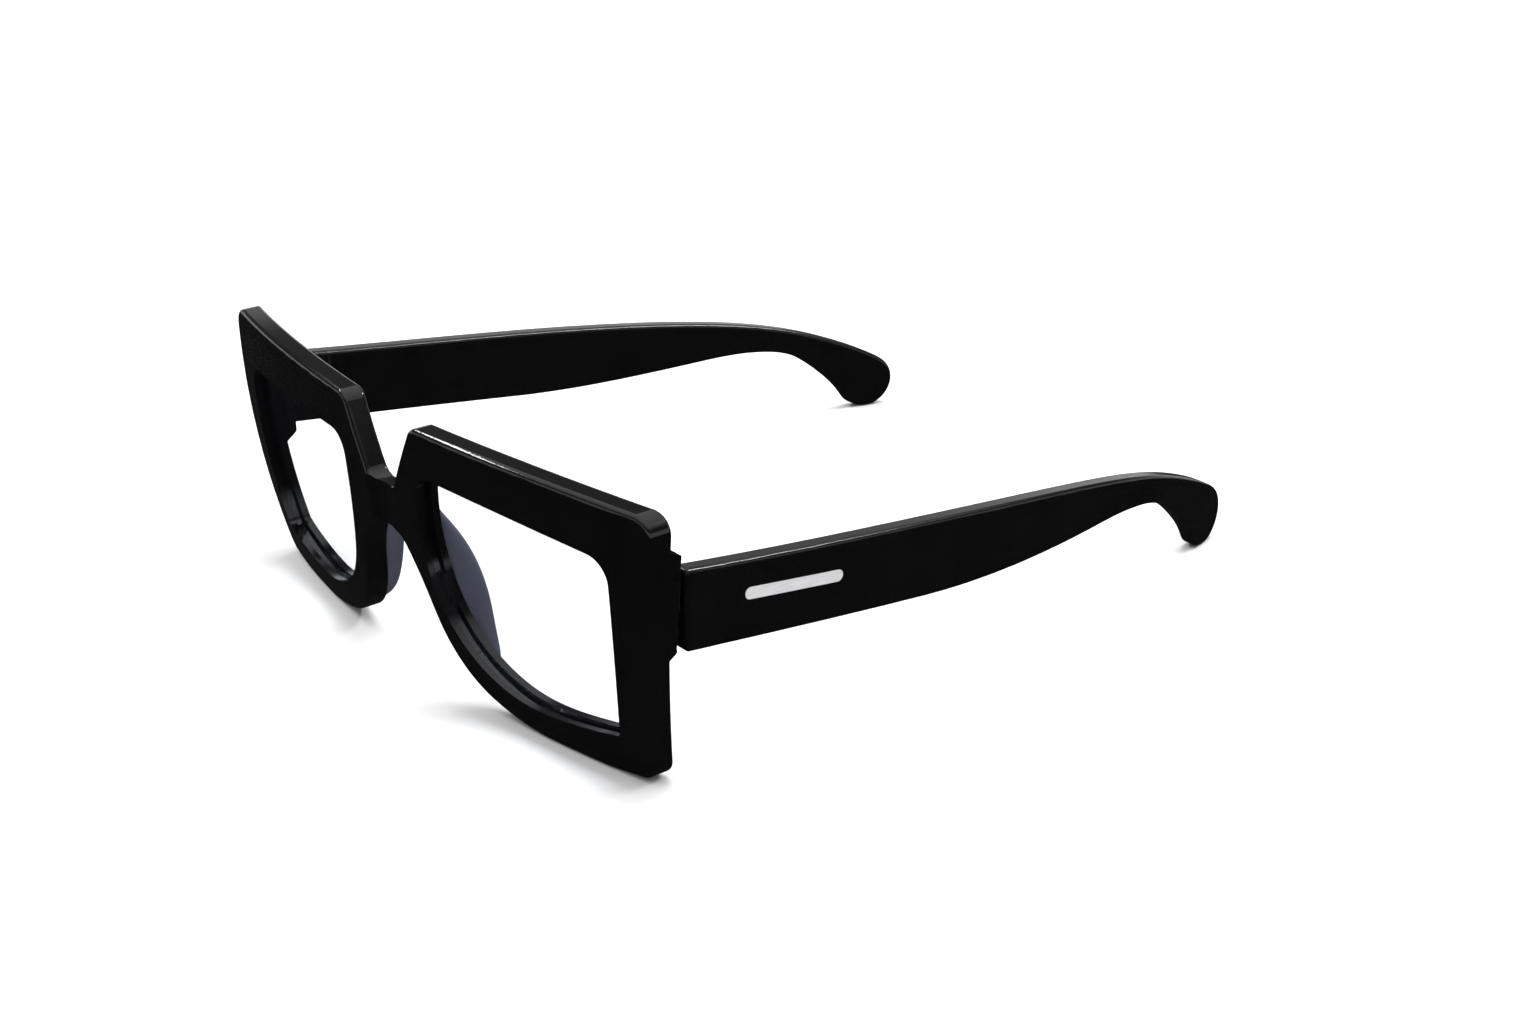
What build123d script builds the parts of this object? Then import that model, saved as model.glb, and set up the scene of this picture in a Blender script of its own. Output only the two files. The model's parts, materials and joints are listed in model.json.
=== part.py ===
from build123d import *
import os

os.makedirs("parts", exist_ok=True)

# Eyeglasses with a thick square front, clear lenses and straight temples with dropped tips.
# X runs across the face (+X is the wearer's left), the front looks towards -Y and +Z is up.
# The origin is the middle of the footprint, on the surface that the rims and tips stand on.

# ---- Driving dimensions, millimetres ----
total_depth = 168.4
front_y = -total_depth / 2
tip_y = total_depth / 2

# Front: a shell bowed both ways, seen from above and from the side
wrap_radius = 282.0
bow_radius = 185.0
bow_height = 47.0
rim_depth = 4.6
front_top = 53.8
front_round = 0.9
back_round = 0.7
saddle_radius = 9.0
saddle_depth = 1.6

# Lenses, held in a groove around each opening
lens_setback = 1.3
lens_thickness = 1.8
groove_depth = 0.8
groove_play = 0.05

# End pieces: the blocks behind the outer corners that carry the hinges
end_piece_inner = 62.9
end_piece_front = front_y + 10.0
end_piece_back = front_y + 15.9
end_piece_round = 0.5

# Temples
temple_root = front_y + 16.7
temple_length = tip_y - temple_root
temple_outer = 71.0
temple_thickness = 3.6
temple_round = 0.7
toe_in = 3.0
tip_curl = 14.0
core_start = front_y + 31.0
core_end = front_y + 128.0
core_width = 0.9
core_height = 2.4
inlay_depth = 0.3
inlay_proud = 0.1
inlay_length = 22.0
inlay_height = 2.2

# Hinges: five knuckles on one upright screw
hinge_x = 64.6
hinge_y = front_y + 18.2
hinge_z = 37.0
knuckle_radius = 1.8
knuckle_height = 1.6
knuckle_gap = 0.36
washer_thickness = 0.3
screw_radius = 0.7
screw_play = 0.05
head_radius = 1.25
head_height = 0.7
leaf_thickness = 0.8
front_leaf_width = 5.7
front_leaf_half_height = 5.2
temple_leaf_length = 6.6
temple_leaf_half_height = 2.8
leaf_screw_radius = 0.45
leaf_screw_head = 0.85
leaf_screw_length = 3.0


def bow_line(depth):
    """Points up the middle of the front, at a depth behind its face."""
    radius = bow_radius - depth
    levels = [-6 + 11 * i for i in range(7)]
    return [(front_y + bow_radius - (radius**2 - (z - bow_height) ** 2) ** 0.5, z) for z in levels]


def front_shell(near, far):
    """Sketches the upright section of a slice of the front, between two depths behind its face."""
    with BuildSketch(Plane.YZ) as section:
        with BuildLine():
            near_line = Spline(*bow_line(near))
            far_line = Spline(*bow_line(far))
            Line(near_line @ 0, far_line @ 0)
            Line(near_line @ 1, far_line @ 1)
        make_face()
    return section.sketch


def bowed_slice(near, far):
    """A slice of the front, a little past its left half: the section turned about the wrap axis."""
    wrap_axis = Axis((0, front_y + wrap_radius, 0), (0, 0, 1))
    section = front_shell(near, far)
    with BuildPart() as slice_part:
        loft([section.rotate(wrap_axis, angle) for angle in (-4, 0, 4, 8, 12, 16, 20)])
    return slice_part.part


with BuildSketch() as opening_shape:
    with BuildLine():
        top = ThreePointArc((13.2, 44.9), (38, 44.7), (62.3, 43.1))
        side = ThreePointArc(top @ 1, (61.9, 26), (59.3, 8.6))
        Spline(
            side @ 1,
            (46, 6.5),
            (33, 6.5),
            (23.4, 10.4),
            (16.2, 18.6),
            (13.0, 29.5),
            top @ 0,
            tangents=((-1, -0.2), (0.1, 1)),
        )
    make_face()
    fillet(opening_shape.vertices().sort_by(Axis.Y)[-2:], 4.8)
    fillet(opening_shape.vertices().sort_by(Axis.Y)[0], 1.3)


def moved_outwards(edge, along, margin):
    """The point at a fraction of an edge of the opening, moved away from the opening's middle."""
    point = edge.position_at(along)
    tangent = edge.tangent_at(along)
    normal = Vector(tangent.Y, -tangent.X, 0)
    if normal.dot(point - Vector(38, 26, 0)) < 0:
        normal = normal * -1
    return point + normal * margin


def opening_outline(margin):
    """The lens opening of the left rim, grown by a margin."""
    with BuildSketch(Plane.XZ) as outline:
        with BuildLine():
            for edge in opening_shape.edges():
                steps = 2 if edge.geom_type == GeomType.CIRCLE else 12
                points = [moved_outwards(edge, i / steps, margin) for i in range(steps + 1)]
                if steps == 2:
                    ThreePointArc(*points)
                else:
                    Spline(*points, tangents=(edge % 0, edge % 1))
        make_face()
    return outline.sketch


def lens_solid(margin, play):
    """The slice that a lens fills, from its setback behind the face, with play all round."""
    bowed = bowed_slice(lens_setback - play, lens_setback + lens_thickness + play)
    outline = opening_outline(margin + play)
    with BuildPart() as slice_part:
        add(bowed)
        extrude(outline, amount=120, both=True, mode=Mode.INTERSECT)
    return slice_part.part


# ---- Front frame: both rims, the bridge and the end pieces in one ----
with BuildSketch(Plane.XZ) as front_outline:
    with BuildLine():
        notch_floor = Line((0, 38.9), (4.0, 38.9))
        notch_side = Line(notch_floor @ 1, (11.6, 53.4))
        top_edge = ThreePointArc(notch_side @ 1, (42, front_top), (72.0, 52.9))
        outer_edge = ThreePointArc(top_edge @ 1, (70.0, 30), (64.4, 0.9))
        outer_toe = Line(outer_edge @ 1, (54, 0))
        flat_foot = Line(outer_toe @ 1, (40, 0))
        nose_side = Spline(
            flat_foot @ 1,
            (30.2, 1.2),
            (20.4, 5.2),
            (13.4, 14.0),
            (9.9, 23.0),
            (6.2, 29.0),
            (0, 30.8),
            tangents=((-1, 0), (-1, 0)),
        )
        Line(nose_side @ 1, notch_floor @ 0)
    make_face()
    for corner, radius in (
        ((4.0, 38.9), 3.2),
        ((11.6, 53.4), 3.2),
        ((72.0, 52.9), 3.8),
        ((64.4, 0.9), 3.6),
    ):
        fillet(front_outline.vertices().sort_by_distance(corner)[0], radius)

end_slice = bowed_slice(rim_depth - 1.5, rim_depth + 9)

with BuildPart() as end_piece:
    with BuildSketch(Plane.YZ.offset(end_piece_inner)):
        with BuildLine():
            Polyline(
                (end_piece_front, 22.4),
                (end_piece_back, 26.9),
                (end_piece_back, 45.0),
                (end_piece_front, 48.0),
                close=True,
            )
        make_face()
    extrude(amount=12)
    extrude(front_outline.sketch, amount=120, both=True, mode=Mode.INTERSECT)
    add(end_slice, mode=Mode.INTERSECT)
    end_face = end_piece.faces().sort_by(Axis.Y)[-1]
    fillet(end_face.edges(), end_piece_round)

front_slice = bowed_slice(0, rim_depth)
lens_opening = opening_outline(0)
lens_groove = lens_solid(groove_depth, groove_play)

with BuildPart() as front_half:
    add(front_slice)
    extrude(front_outline.sketch, amount=120, both=True, mode=Mode.INTERSECT)
    # The bridge is hollowed from the front, so that it sits back between the rims
    with BuildSketch(Plane.XY) as saddle:
        with Locations((0, front_y + saddle_depth - saddle_radius)):
            Circle(saddle_radius)
    extrude(saddle.sketch, amount=60, mode=Mode.SUBTRACT)
    front_face = front_half.faces().sort_by(SortBy.AREA)[-2:].sort_by(Axis.Y)[0]
    fillet(front_face.edges().filter_by(lambda e: e.center().X > 0.01), front_round)
    back_face = front_half.faces().sort_by(SortBy.AREA)[-2:].sort_by(Axis.Y)[-1]
    fillet(back_face.edges().filter_by(lambda e: e.center().X > 0.01), back_round)
    add(end_piece.part)
    extrude(lens_opening, amount=120, both=True, mode=Mode.SUBTRACT)
    add(lens_groove, mode=Mode.SUBTRACT)


# ---- Hinge screw, washers and the two leaves, for the left side ----
knuckle_pitch = knuckle_height + knuckle_gap
barrel_bottom = hinge_z - 2 * knuckle_pitch - knuckle_height / 2
barrel_top = hinge_z + 2 * knuckle_pitch + knuckle_height / 2
washer_slack = (knuckle_gap - washer_thickness) / 2
leaf_screw_spread = 3.2


def knuckle_plane(index):
    """The level of the bottom of one knuckle, counted from the lowest."""
    return Plane.XY.offset(barrel_bottom + index * knuckle_pitch)


def knuckle(index, arm_corner, arm_opposite):
    """One hinge knuckle with the arm that joins it to its leaf, given by two corners in plan."""
    with BuildPart() as one:
        with BuildSketch(knuckle_plane(index)):
            with Locations((hinge_x, hinge_y)):
                Circle(knuckle_radius)
            with Locations(arm_corner):
                width = arm_opposite[0] - arm_corner[0]
                depth = arm_opposite[1] - arm_corner[1]
                Rectangle(width, depth, align=(Align.MIN, Align.MIN))
        extrude(amount=knuckle_height)
    return one.part


def leaf_screw(plane):
    """A countersunk screw, with its head flush in the plane and its shank behind it."""
    with BuildPart() as screw:
        with BuildSketch(plane):
            Circle(leaf_screw_head)
        with BuildSketch(plane.offset(-(leaf_screw_head - leaf_screw_radius))):
            Circle(leaf_screw_radius)
        loft()
        with BuildSketch(plane):
            Circle(leaf_screw_radius)
        extrude(amount=-leaf_screw_length)
    return screw.part


front_screw_x = 67.9
front_screw_spots = [
    Plane((front_screw_x, end_piece_back, hinge_z + dz), x_dir=(1, 0, 0), z_dir=(0, 1, 0))
    for dz in (-leaf_screw_spread, leaf_screw_spread)
]
temple_leaf_x = 67.1
temple_screw_spots = [
    Plane((temple_leaf_x, hinge_y + dy, hinge_z), x_dir=(0, 1, 0), z_dir=(-1, 0, 0))
    for dy in (4.2, 7.3)
]

front_screw_solids = [leaf_screw(spot) for spot in front_screw_spots]
temple_screw_solids = [leaf_screw(spot) for spot in temple_screw_spots]

with BuildPart() as front_leaf_screws:
    add(front_screw_solids)

with BuildPart() as temple_leaf_screws:
    add(temple_screw_solids)

with BuildPart() as hinge_screw:
    with BuildSketch(Plane.XY.offset(barrel_bottom)):
        with Locations((hinge_x, hinge_y)):
            Circle(screw_radius)
    extrude(amount=barrel_top - barrel_bottom)
    with BuildSketch(Plane.XY.offset(barrel_top)):
        with Locations((hinge_x, hinge_y)):
            Circle(head_radius)
    extrude(amount=head_height)
    fillet(hinge_screw.edges().sort_by(Axis.Z)[-1], 0.3)
    with BuildSketch(Plane.XY.offset(barrel_top + head_height)):
        with Locations((hinge_x, hinge_y)):
            Rectangle(3 * head_radius, 0.35, rotation=30)
    extrude(amount=-0.35, mode=Mode.SUBTRACT)

with BuildPart() as hinge_bore:
    with BuildSketch(Plane.XY.offset(barrel_bottom)):
        with Locations((hinge_x, hinge_y)):
            Circle(screw_radius + screw_play)
    extrude(amount=barrel_top - barrel_bottom)

with BuildPart() as hinge_washers:
    for gap in range(4):
        level = barrel_bottom + gap * knuckle_pitch + knuckle_height + washer_slack
        with BuildSketch(Plane.XY.offset(level)):
            with Locations((hinge_x, hinge_y)):
                Circle(knuckle_radius - 0.1)
                Circle(screw_radius + 2 * screw_play, mode=Mode.SUBTRACT)
        extrude(amount=washer_thickness)

front_arm = ((hinge_x - 1.5, end_piece_back - leaf_thickness), (hinge_x + 1.5, hinge_y))
temple_arm = ((hinge_x, hinge_y), (temple_leaf_x + leaf_thickness, hinge_y + 3.4))
front_knuckles = [knuckle(index, *front_arm) for index in (0, 2, 4)]
temple_knuckles = [knuckle(index, *temple_arm) for index in (1, 3)]

with BuildPart() as front_hinge_leaf:
    with BuildSketch(Plane.XY.offset(hinge_z - front_leaf_half_height)):
        with Locations((63.5, end_piece_back - leaf_thickness)):
            Rectangle(front_leaf_width, leaf_thickness, align=(Align.MIN, Align.MIN))
    extrude(amount=2 * front_leaf_half_height)
    add(front_knuckles)
    add(hinge_bore.part, mode=Mode.SUBTRACT)
    add(front_leaf_screws.part, mode=Mode.SUBTRACT)

with BuildPart() as temple_hinge_leaf:
    with BuildSketch(Plane.XY.offset(hinge_z - temple_leaf_half_height)):
        with Locations((temple_leaf_x, hinge_y + 2.2)):
            Rectangle(leaf_thickness, temple_leaf_length, align=(Align.MIN, Align.MIN))
    extrude(amount=2 * temple_leaf_half_height)
    add(temple_knuckles)
    add(hinge_bore.part, mode=Mode.SUBTRACT)
    add(temple_leaf_screws.part, mode=Mode.SUBTRACT)


# ---- Temples, for the left side ----
def outer_x(y):
    """How far out the temple's outer face stands: it leans in slowly, and curls in at the tip."""
    along = (y - temple_root) / temple_length
    return temple_outer - toe_in * along - tip_curl * along**3


def temple_slice(outer_inset, inner_inset, start, end):
    """A band of the temple seen from above, between two depths below its outer face, full height."""
    steps = [start + (end - start) * i / 8 for i in range(9)]
    with BuildPart() as band:
        with BuildSketch(Plane.XY):
            with BuildLine():
                outer = Spline(*[(outer_x(y) - outer_inset, y) for y in steps])
                inner = Spline(*[(outer_x(y) - inner_inset, y) for y in reversed(steps)])
                Line(outer @ 1, inner @ 0)
                Line(inner @ 1, outer @ 0)
            make_face()
        extrude(amount=60, both=True)
    return band.part


def side_face(points_offset):
    """Points of a side outline, given as distance behind the front's face and height."""
    return [(front_y + back, height) for back, height in points_offset]


temple_top_line = side_face(
    [
        (168.4, 6.6),
        (167.2, 10.0),
        (163.4, 13.0),
        (155.5, 17.0),
        (142.7, 22.0),
        (120.7, 27.4),
        (97.7, 31.2),
        (70.7, 34.9),
        (16.7, 42.0),
    ]
)
temple_lower_line = side_face(
    [
        (16.7, 26.9),
        (70.7, 20.2),
        (97.7, 18.4),
        (118.0, 18.5),
        (131.7, 18.3),
        (141.5, 16.3),
        (149.5, 11.0),
        (156.3, 3.6),
        (162.6, 0.0),
    ]
)
with BuildPart() as temple_side:
    with BuildSketch(Plane.YZ.offset(40)):
        with BuildLine():
            straight = Line(*temple_lower_line[:2])
            waist = Spline(*temple_lower_line[1:5], tangents=(straight % 1, (1, -0.1)))
            drop = Spline(*temple_lower_line[4:], tangents=((1, -0.1), (1, 0)))
            ThreePointArc(drop @ 1, (front_y + 166.6, 2.0), (front_y + 168.4, 6.6))
            upper = Spline(*temple_top_line)
            Line(upper @ 1, straight @ 0)
        make_face()
    extrude(amount=40)

core_band = temple_slice(1.35, 1.35 + core_width, core_start, core_end)
inlay_band = temple_slice(-inlay_proud, inlay_depth, front_y + 25, front_y + 55)
temple_band = temple_slice(0, temple_thickness, temple_root - 1, tip_y + 1)

with BuildPart() as temple_core:
    add(core_band)
    with BuildSketch(Plane.YZ.offset(40)):
        with BuildLine():
            mid_line = Spline(*side_face([(31, 32.7), (70.7, 27.5), (97.7, 24.8), (128, 21.8)]))
        trace(mid_line, core_height)
    extrude(amount=40, mode=Mode.INTERSECT)

with BuildPart() as temple_inlay:
    add(inlay_band)
    with BuildSketch(Plane.YZ.offset(40)):
        with Locations((front_y + 40, 32.4)):
            SlotOverall(inlay_length, inlay_height, rotation=-8.0)
    extrude(amount=40, mode=Mode.INTERSECT)

with BuildPart() as temple:
    add(temple_band)
    add(temple_side.part, mode=Mode.INTERSECT)
    fillet(temple.edges(), temple_round)
    add(temple_core.part, mode=Mode.SUBTRACT)
    add(temple_inlay.part, mode=Mode.SUBTRACT)
    add(temple_hinge_leaf.part, mode=Mode.SUBTRACT)
    add(temple_leaf_screws.part, mode=Mode.SUBTRACT)


# ---- Lens and nose pad, for the left side ----
lens_body = lens_solid(groove_depth, 0)

with BuildPart() as lens:
    add(lens_body)

# Level, middle of the section (x, distance behind the face), half length, half width
pad_sections = (
    (6.4, (20.4, 9.6), 0.5, 0.3),
    (8.5, (18.6, 9.8), 2.2, 1.2),
    (13.0, (16.2, 9.3), 3.3, 1.7),
    (18.5, (14.4, 8.8), 3.9, 1.9),
    (24.0, (12.6, 8.2), 3.9, 1.8),
    (29.0, (10.9, 7.3), 3.3, 1.6),
    (33.0, (10.0, 6.5), 1.9, 1.2),
    (36.0, (9.8, 6.0), 0.5, 0.3),
)
with BuildPart() as nose_pad:
    for level, (across, back), half_length, half_width in pad_sections:
        with BuildSketch(Plane.XY.offset(level)):
            with Locations((across, front_y + back)):
                Ellipse(half_length, half_width, rotation=68)
    loft()

with BuildPart() as front_frame:
    add(front_half.part)
    mirror(about=Plane.YZ)
    for piece in (front_hinge_leaf.part, front_leaf_screws.part):
        add(piece, mode=Mode.SUBTRACT)
        add(mirror(piece, about=Plane.YZ, mode=Mode.PRIVATE), mode=Mode.SUBTRACT)

with BuildPart() as bonded_pad:
    add(nose_pad.part)
    add(front_frame.part, mode=Mode.SUBTRACT)

# ---- Write every node: the front once, the rest on both sides ----
front_frame.part.label = "front_frame"
export_step(front_frame.part, "parts/front_frame.step")

left_pieces = {
    "lens": lens.part,
    "nose_pad": bonded_pad.part,
    "front_hinge_leaf": front_hinge_leaf.part,
    "front_leaf_screws": front_leaf_screws.part,
    "hinge_screw": hinge_screw.part,
    "hinge_washers": hinge_washers.part,
    "temple_hinge_leaf": temple_hinge_leaf.part,
    "temple_leaf_screws": temple_leaf_screws.part,
    "temple": temple.part,
    "temple_core": temple_core.part,
    "temple_inlay": temple_inlay.part,
}
for name, left_piece in left_pieces.items():
    right_piece = mirror(left_piece, about=Plane.YZ)
    left_piece.label = f"{name}_left"
    right_piece.label = f"{name}_right"
    export_step(left_piece, f"parts/{name}_left.step")
    export_step(right_piece, f"parts/{name}_right.step")
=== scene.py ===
import json
import bpy
from mathutils import Matrix, Vector

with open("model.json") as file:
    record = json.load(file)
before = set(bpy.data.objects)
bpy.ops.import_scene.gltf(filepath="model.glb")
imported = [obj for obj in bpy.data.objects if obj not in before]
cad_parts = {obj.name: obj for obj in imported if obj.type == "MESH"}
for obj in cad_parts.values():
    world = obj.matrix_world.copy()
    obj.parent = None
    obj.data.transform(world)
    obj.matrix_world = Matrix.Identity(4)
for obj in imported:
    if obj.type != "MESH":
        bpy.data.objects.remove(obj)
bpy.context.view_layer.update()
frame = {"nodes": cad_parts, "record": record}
scene = bpy.context.scene


# ---- Camera, at the photograph's angle ----
camera_data = bpy.data.cameras.new("camera")
camera_data.sensor_width = 36.0
camera_data.sensor_fit = "HORIZONTAL"
camera_data.lens = 54.8
camera_data.clip_start = 0.01
camera = bpy.data.objects.new("camera", camera_data)
scene.collection.objects.link(camera)
right = Vector((0.62179, 0.78311, -0.01099))
up = Vector((-0.30284, 0.25335, 0.91875))
back = Vector((0.7223, -0.5679, 0.3947))
place = Vector((0.3515, -0.2708, 0.2009))
camera.matrix_world = Matrix((
    (right.x, up.x, back.x, place.x),
    (right.y, up.y, back.y, place.y),
    (right.z, up.z, back.z, place.z),
    (0.0, 0.0, 0.0, 1.0),
))
scene.camera = camera


# ---- Materials ----
class Graph:
    """A new material's node tree, with short calls to add and join nodes."""

    def __init__(self, name):
        self.material = bpy.data.materials.new(name)
        self.material.use_nodes = True
        self.tree = self.material.node_tree
        self.tree.nodes.clear()
        self.output = self.tree.nodes.new("ShaderNodeOutputMaterial")

    def add(self, kind, **settings):
        node = self.tree.nodes.new("ShaderNode" + kind)
        for key, value in settings.items():
            if hasattr(node, key):
                setattr(node, key, value)
            else:
                node.inputs[key.replace("_", " ")].default_value = value
        return node

    def join(self, source, target):
        self.tree.links.new(source, target)

    def noise(self, scale, detail=3.0, stretch=None):
        """Noise in the object's own coordinates, in metres, optionally stretched."""
        coordinates = self.add("TexCoord").outputs["Object"]
        if stretch:
            mapping = self.add("Mapping")
            mapping.inputs["Scale"].default_value = stretch
            self.join(coordinates, mapping.inputs["Vector"])
            coordinates = mapping.outputs["Vector"]
        texture = self.add("TexNoise", Scale=scale, Detail=detail)
        self.join(coordinates, texture.inputs["Vector"])
        return texture.outputs["Fac"]

    def spread(self, value, low, high, start=0.3, end=0.7):
        """The value, taken from start..end to low..high."""
        node = self.add("MapRange")
        for name, number in (("From Min", start), ("From Max", end), ("To Min", low), ("To Max", high)):
            node.inputs[name].default_value = number
        self.join(value, node.inputs["Value"])
        return node.outputs["Result"]

    def blend_colours(self, value, first, second):
        node = self.add("ValToRGB")
        node.color_ramp.elements[0].color = (*first, 1)
        node.color_ramp.elements[1].color = (*second, 1)
        node.color_ramp.elements[0].position = 0.3
        node.color_ramp.elements[1].position = 0.7
        self.join(value, node.inputs["Fac"])
        return node.outputs["Color"]

    def bump(self, value, distance):
        node = self.add("Bump", Strength=1.0, Distance=distance)
        self.join(value, node.inputs["Height"])
        return node.outputs["Normal"]


def acetate(name, dark, light, rough_low, rough_high, specular, waviness):
    """Acetate: a hint of cloudiness, hand-polished waviness and fine rubbing marks, over the base tone passed in
    (for the pads, a painted sheen).
    """
    g = Graph(name)
    shader = g.add("BsdfPrincipled")
    shader.inputs["Specular IOR Level"].default_value = specular
    shader.inputs["IOR"].default_value = 1.49
    g.join(g.blend_colours(g.noise(90, 4), dark, light), shader.inputs["Base Color"])
    rubbing = g.noise(900, 2, stretch=(1, 0.12, 1))
    g.join(g.spread(rubbing, rough_low, rough_high), shader.inputs["Roughness"])
    g.join(g.bump(g.noise(140, 2), waviness), shader.inputs["Normal"])
    g.join(shader.outputs["BSDF"], g.output.inputs["Surface"])
    return g.material


def metal(name, dark, light, rough_low, rough_high, stretch, metallic=1.0):
    """Metal with a fine directional grain."""
    g = Graph(name)
    shader = g.add("BsdfPrincipled", Metallic=metallic)
    marks = g.noise(2500, 3, stretch=stretch)
    g.join(g.blend_colours(marks, dark, light), shader.inputs["Base Color"])
    g.join(g.spread(marks, rough_low, rough_high), shader.inputs["Roughness"])
    g.join(g.bump(marks, 0.000004), shader.inputs["Normal"])
    g.join(shader.outputs["BSDF"], g.output.inputs["Surface"])
    return g.material


def lens_glass(name):
    """Clear lens: see-through with a faint cool coating, mirroring more at a slant."""
    g = Graph(name)
    clear = g.add("BsdfTransparent")
    mirror = g.add("BsdfGlossy", Roughness=0.02)
    slant = g.add("LayerWeight", Blend=0.5)
    steep = g.add("Math", operation="POWER")
    steep.inputs[1].default_value = 4.0
    g.join(slant.outputs["Facing"], steep.inputs[0])
    mix = g.add("MixShader")
    coating = g.noise(25, 1)
    g.join(g.blend_colours(coating, (0.955, 0.965, 0.98), (0.97, 0.978, 0.988)), clear.inputs["Color"])
    g.join(g.blend_colours(coating, (0.75, 0.82, 1.0), (0.85, 0.88, 1.0)), mirror.inputs["Color"])
    g.join(g.spread(steep.outputs["Value"], 0.02, 0.3, 0.0, 1.0), mix.inputs[0])
    g.join(clear.outputs["BSDF"], mix.inputs[1])
    g.join(mirror.outputs["BSDF"], mix.inputs[2])
    g.join(mix.outputs["Shader"], g.output.inputs["Surface"])
    return g.material


def washer_plastic(name):
    """White nylon, slightly mottled."""
    g = Graph(name)
    shader = g.add("BsdfPrincipled")
    mottle = g.noise(1500, 2)
    g.join(g.blend_colours(mottle, (0.62, 0.61, 0.58), (0.78, 0.77, 0.74)), shader.inputs["Base Color"])
    g.join(g.spread(mottle, 0.4, 0.6), shader.inputs["Roughness"])
    g.join(shader.outputs["BSDF"], g.output.inputs["Surface"])
    return g.material


looks = {
    "front_acetate": acetate(
        "front_acetate_look", (0.0018, 0.0018, 0.0022), (0.0026, 0.0026, 0.0031),
        rough_low=0.06, rough_high=0.09, specular=0.5, waviness=0.000004,
    ),
    "temple_acetate": acetate(
        "temple_acetate_look", (0.0020, 0.0020, 0.0024), (0.0030, 0.0030, 0.0036),
        rough_low=0.13, rough_high=0.18, specular=0.45, waviness=0.000005,
    ),
    # Pads: the light bluish-grey base colour is a painted sheen that stands in for the light the satin pads
    # reflect; the random cloudiness over it is the acetate's own.
    "pad_acetate": acetate(
        "pad_acetate_painted_sheen_look", (0.048, 0.052, 0.078), (0.060, 0.065, 0.095),
        rough_low=0.34, rough_high=0.44, specular=0.5, waviness=0.000004,
    ),
    "lens": lens_glass("lens_look"),
    "core_wire": metal(
        "core_wire_look", (0.45, 0.45, 0.46), (0.62, 0.62, 0.63),
        rough_low=0.25, rough_high=0.4, stretch=(1, 0.05, 1),
    ),
    "hinge_metal": metal(
        "hinge_metal_look", (0.035, 0.035, 0.038), (0.07, 0.07, 0.075),
        rough_low=0.28, rough_high=0.42, stretch=(1, 1, 0.1),
    ),
    "screw_metal": metal(
        "screw_metal_look", (0.30, 0.30, 0.31), (0.42, 0.42, 0.43),
        rough_low=0.22, rough_high=0.35, stretch=(1, 0.2, 1),
    ),
    "washer": washer_plastic("washer_look"),
    "silver_bar": metal(
        "silver_bar_look", (0.74, 0.74, 0.75), (0.84, 0.84, 0.85),
        rough_low=0.30, rough_high=0.40, stretch=(1, 0.1, 1), metallic=0.3,
    ),
}
node_slots = {entry["node"]: entry["material_slot"] for entry in frame["record"]["subparts"]}
for node, thing in frame["nodes"].items():
    look = looks[node_slots[node]]
    if thing.material_slots:
        for material_slot in thing.material_slots:
            material_slot.material = look
    else:
        thing.data.materials.append(look)


# ---- Stage: a pale floor, just under the glasses ----
floor_half = 4.0
floor_level = -0.00005
floor_corners = [(x * floor_half, y * floor_half, floor_level) for x, y in ((-1, -1), (1, -1), (1, 1), (-1, 1))]
floor_mesh = bpy.data.meshes.new("floor")
floor_mesh.from_pydata(floor_corners, [], [(0, 1, 2, 3)])
floor = bpy.data.objects.new("floor", floor_mesh)
scene.collection.objects.link(floor)
g = Graph("floor_look")
floor_shader = g.add("BsdfPrincipled", Roughness=0.9)
floor_shader.inputs["Specular IOR Level"].default_value = 0.0
g.join(g.blend_colours(g.noise(3, 2), (0.90, 0.90, 0.90), (0.915, 0.915, 0.915)), floor_shader.inputs["Base Color"])
g.join(floor_shader.outputs["BSDF"], g.output.inputs["Surface"])
floor.data.materials.append(g.material)
# Polished black pieces would mirror the whole floor, which the photograph does not show
floor.visible_glossy = False

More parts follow.
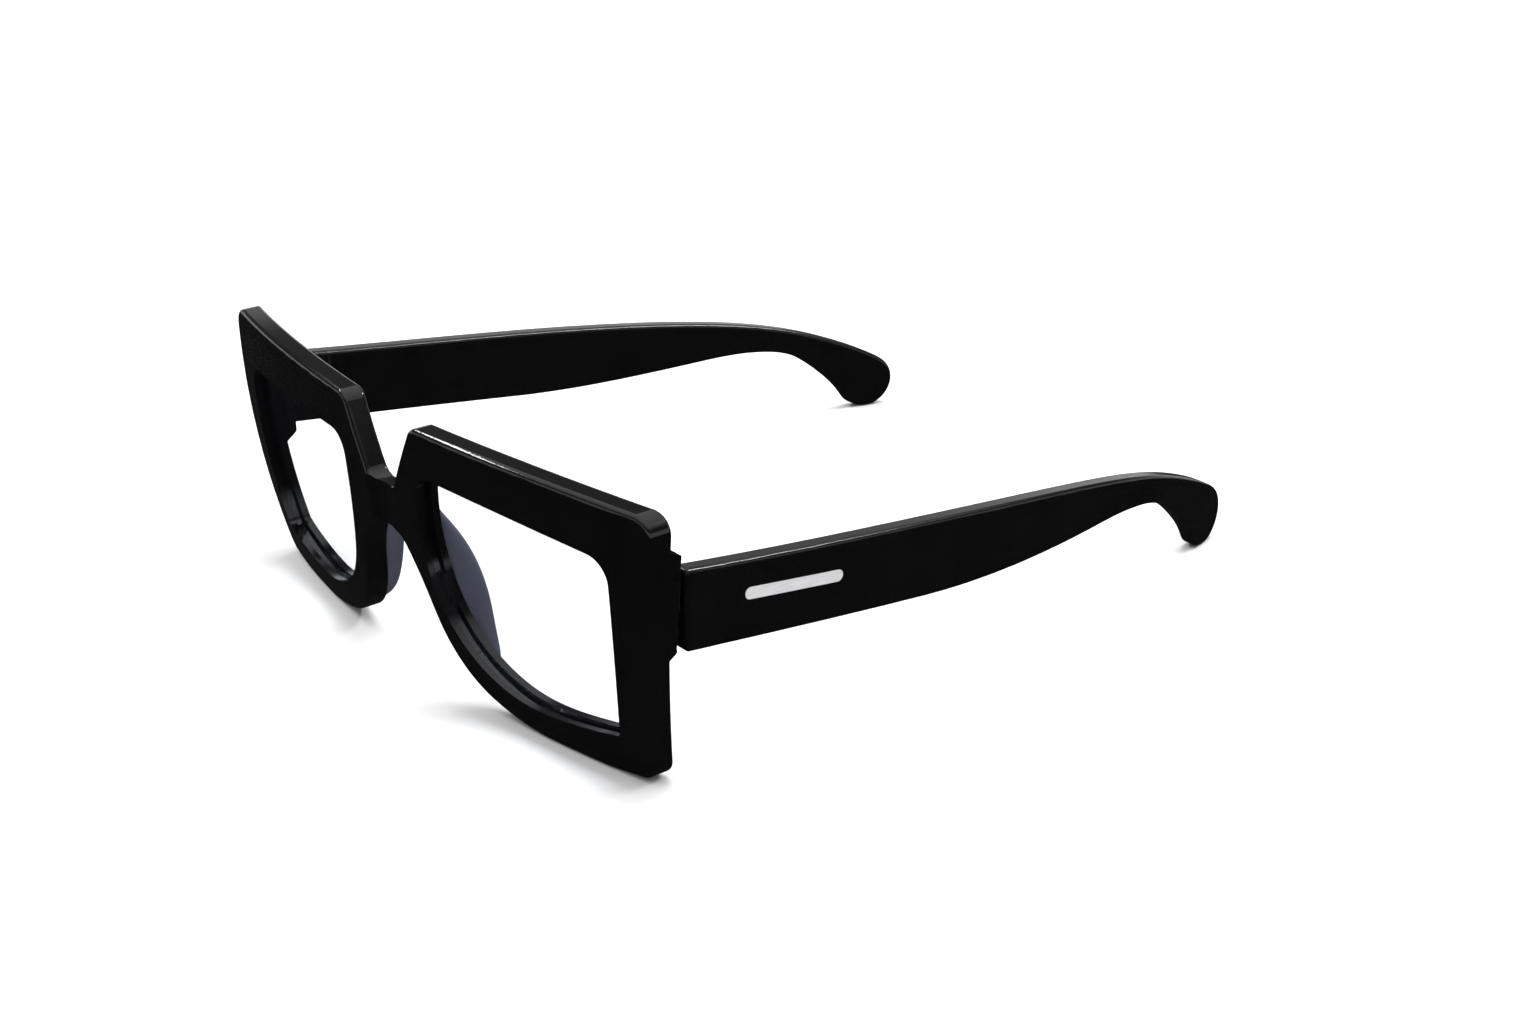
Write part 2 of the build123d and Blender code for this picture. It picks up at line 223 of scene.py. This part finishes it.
# ---- Surroundings: light near the horizon, a dark band above it, bright overhead, dark below ----
world = bpy.data.worlds.new("world")
scene.world = world
world.use_nodes = True
tree = world.node_tree
tree.nodes.clear()
direction = tree.nodes.new("ShaderNodeTexCoord")
split = tree.nodes.new("ShaderNodeSeparateXYZ")
ramp = tree.nodes.new("ShaderNodeValToRGB")
height = tree.nodes.new("ShaderNodeMapRange")
height.inputs["From Min"].default_value = -1.0
sky = tree.nodes.new("ShaderNodeBackground")
world_out = tree.nodes.new("ShaderNodeOutputWorld")
tree.links.new(direction.outputs["Generated"], split.inputs["Vector"])
tree.links.new(split.outputs["Z"], height.inputs["Value"])
tree.links.new(height.outputs["Result"], ramp.inputs["Fac"])
tree.links.new(ramp.outputs["Color"], sky.inputs["Color"])
tree.links.new(sky.outputs["Background"], world_out.inputs["Surface"])
stops = ramp.color_ramp.elements
stops[0].position = 0.0
stops[0].color = (0.02, 0.02, 0.022, 1)
stops[1].position = 1.0
stops[1].color = (1.5, 1.5, 1.5, 1)
sky_levels = ((0.455, 0.02), (0.47, 0.95), (0.58, 0.95), (0.64, 0.11), (0.73, 0.11), (0.80, 0.9))
for position, level in sky_levels:
    stop = stops.new(position)
    stop.color = (level, level, level * 1.01, 1)
sky.inputs["Strength"].default_value = 0.9


def softbox(name, place, aim, width, height, power):
    """A soft rectangular light at a place, turned to face a point."""
    data = bpy.data.lights.new(name, "AREA")
    data.shape = "RECTANGLE"
    data.size = width
    data.size_y = height
    data.energy = power
    lamp = bpy.data.objects.new(name, data)
    lamp.location = place
    lamp.rotation_euler = (Vector(aim) - Vector(place)).to_track_quat("-Z", "Y").to_euler()
    scene.collection.objects.link(lamp)
    return lamp


middle = (0.02, 0.0, 0.02)
softbox("edge_light", (-0.72, -0.24, 0.66), middle, 0.55, 0.10, 3.2)
softbox("temple_light", (0.45, 0.75, 0.85), middle, 0.5, 0.10, 5.0)
top_light = softbox("top_light", (-0.1, 0.35, 1.1), middle, 0.9, 0.7, 10.0)
top_light.visible_glossy = False

scene.view_settings.view_transform = "Standard"
scene.view_settings.look = "None"
